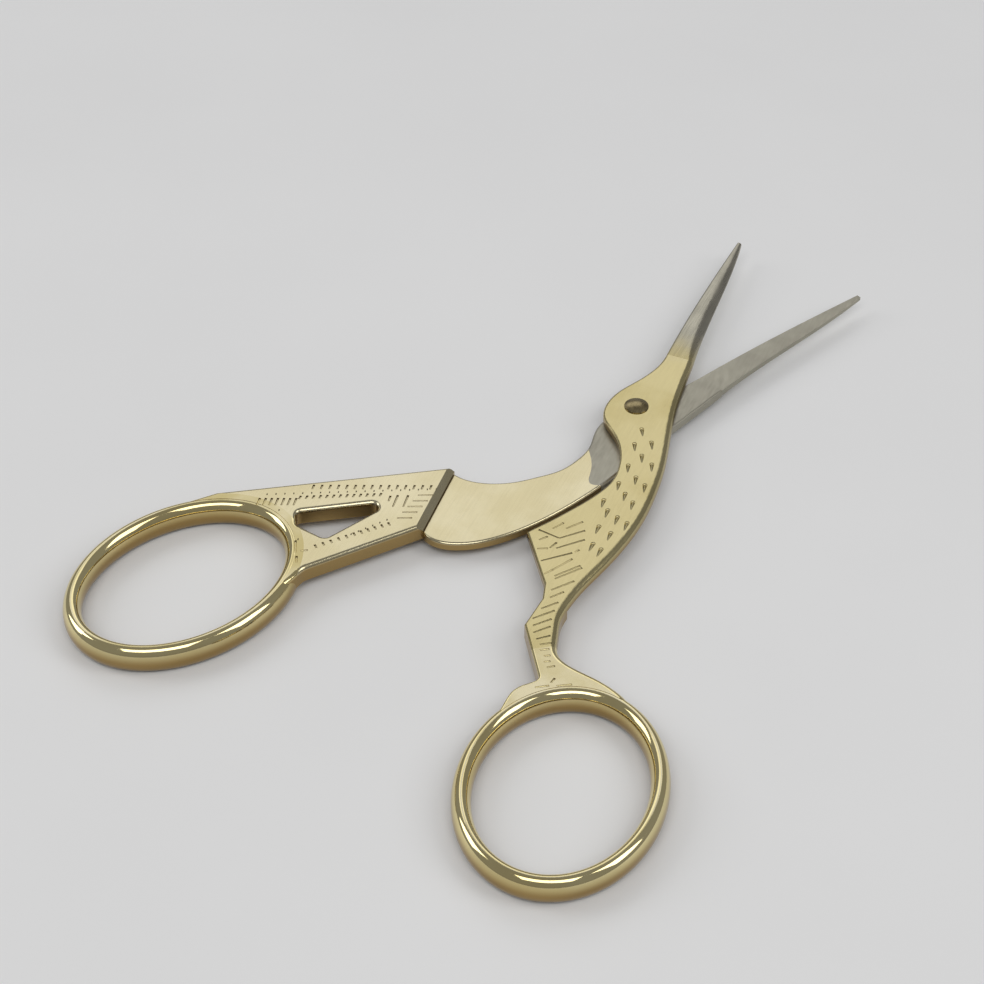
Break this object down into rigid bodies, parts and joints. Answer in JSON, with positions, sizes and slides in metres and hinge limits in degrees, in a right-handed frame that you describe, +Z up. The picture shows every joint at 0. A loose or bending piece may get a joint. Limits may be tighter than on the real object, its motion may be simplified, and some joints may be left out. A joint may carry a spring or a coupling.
{
  "type": "stork embroidery scissors",
  "caption": "Small needlework scissors shaped as a stork, with slim beak blades, engraved plumage, a pierced wing and oval finger rings.",
  "frame": {"origin": "on the rivet's axis, at the flat of the rivet's tail that rests on the table", "axes": "+Z up along the rivet, through the eye; +Y along the front half's blade, from the rivet to the tip; +X to the stork's breast side"},
  "size_m": [0.0752, 0.1147, 0.004],
  "materials": {
    "gold_plating": "pale gold plating over forged steel, mirror bright on the rings and softly polished on the flats",
    "bare_steel": "ground bare steel with fine grinding lines",
    "rivet_bronze": "dark polished bronze dome"
  },
  "bodies": {
    "front_half": {"front_blade": "bare_steel", "front_body": "gold_plating", "front_ring": "gold_plating", "pivot_rivet": "rivet_bronze"},
    "rear_half": {"rear_blade": "bare_steel", "rear_back": "gold_plating", "rear_wing": "gold_plating", "rear_ring": "gold_plating"}
  },
  "joints": [
    {"name": "pivot", "type": "hinge", "parent": "front_half", "child": "rear_half", "pos_m": [0, 0, 0.0024], "axis": [0, 0, 1], "range_deg": [-35, 27.6]}
  ]
}
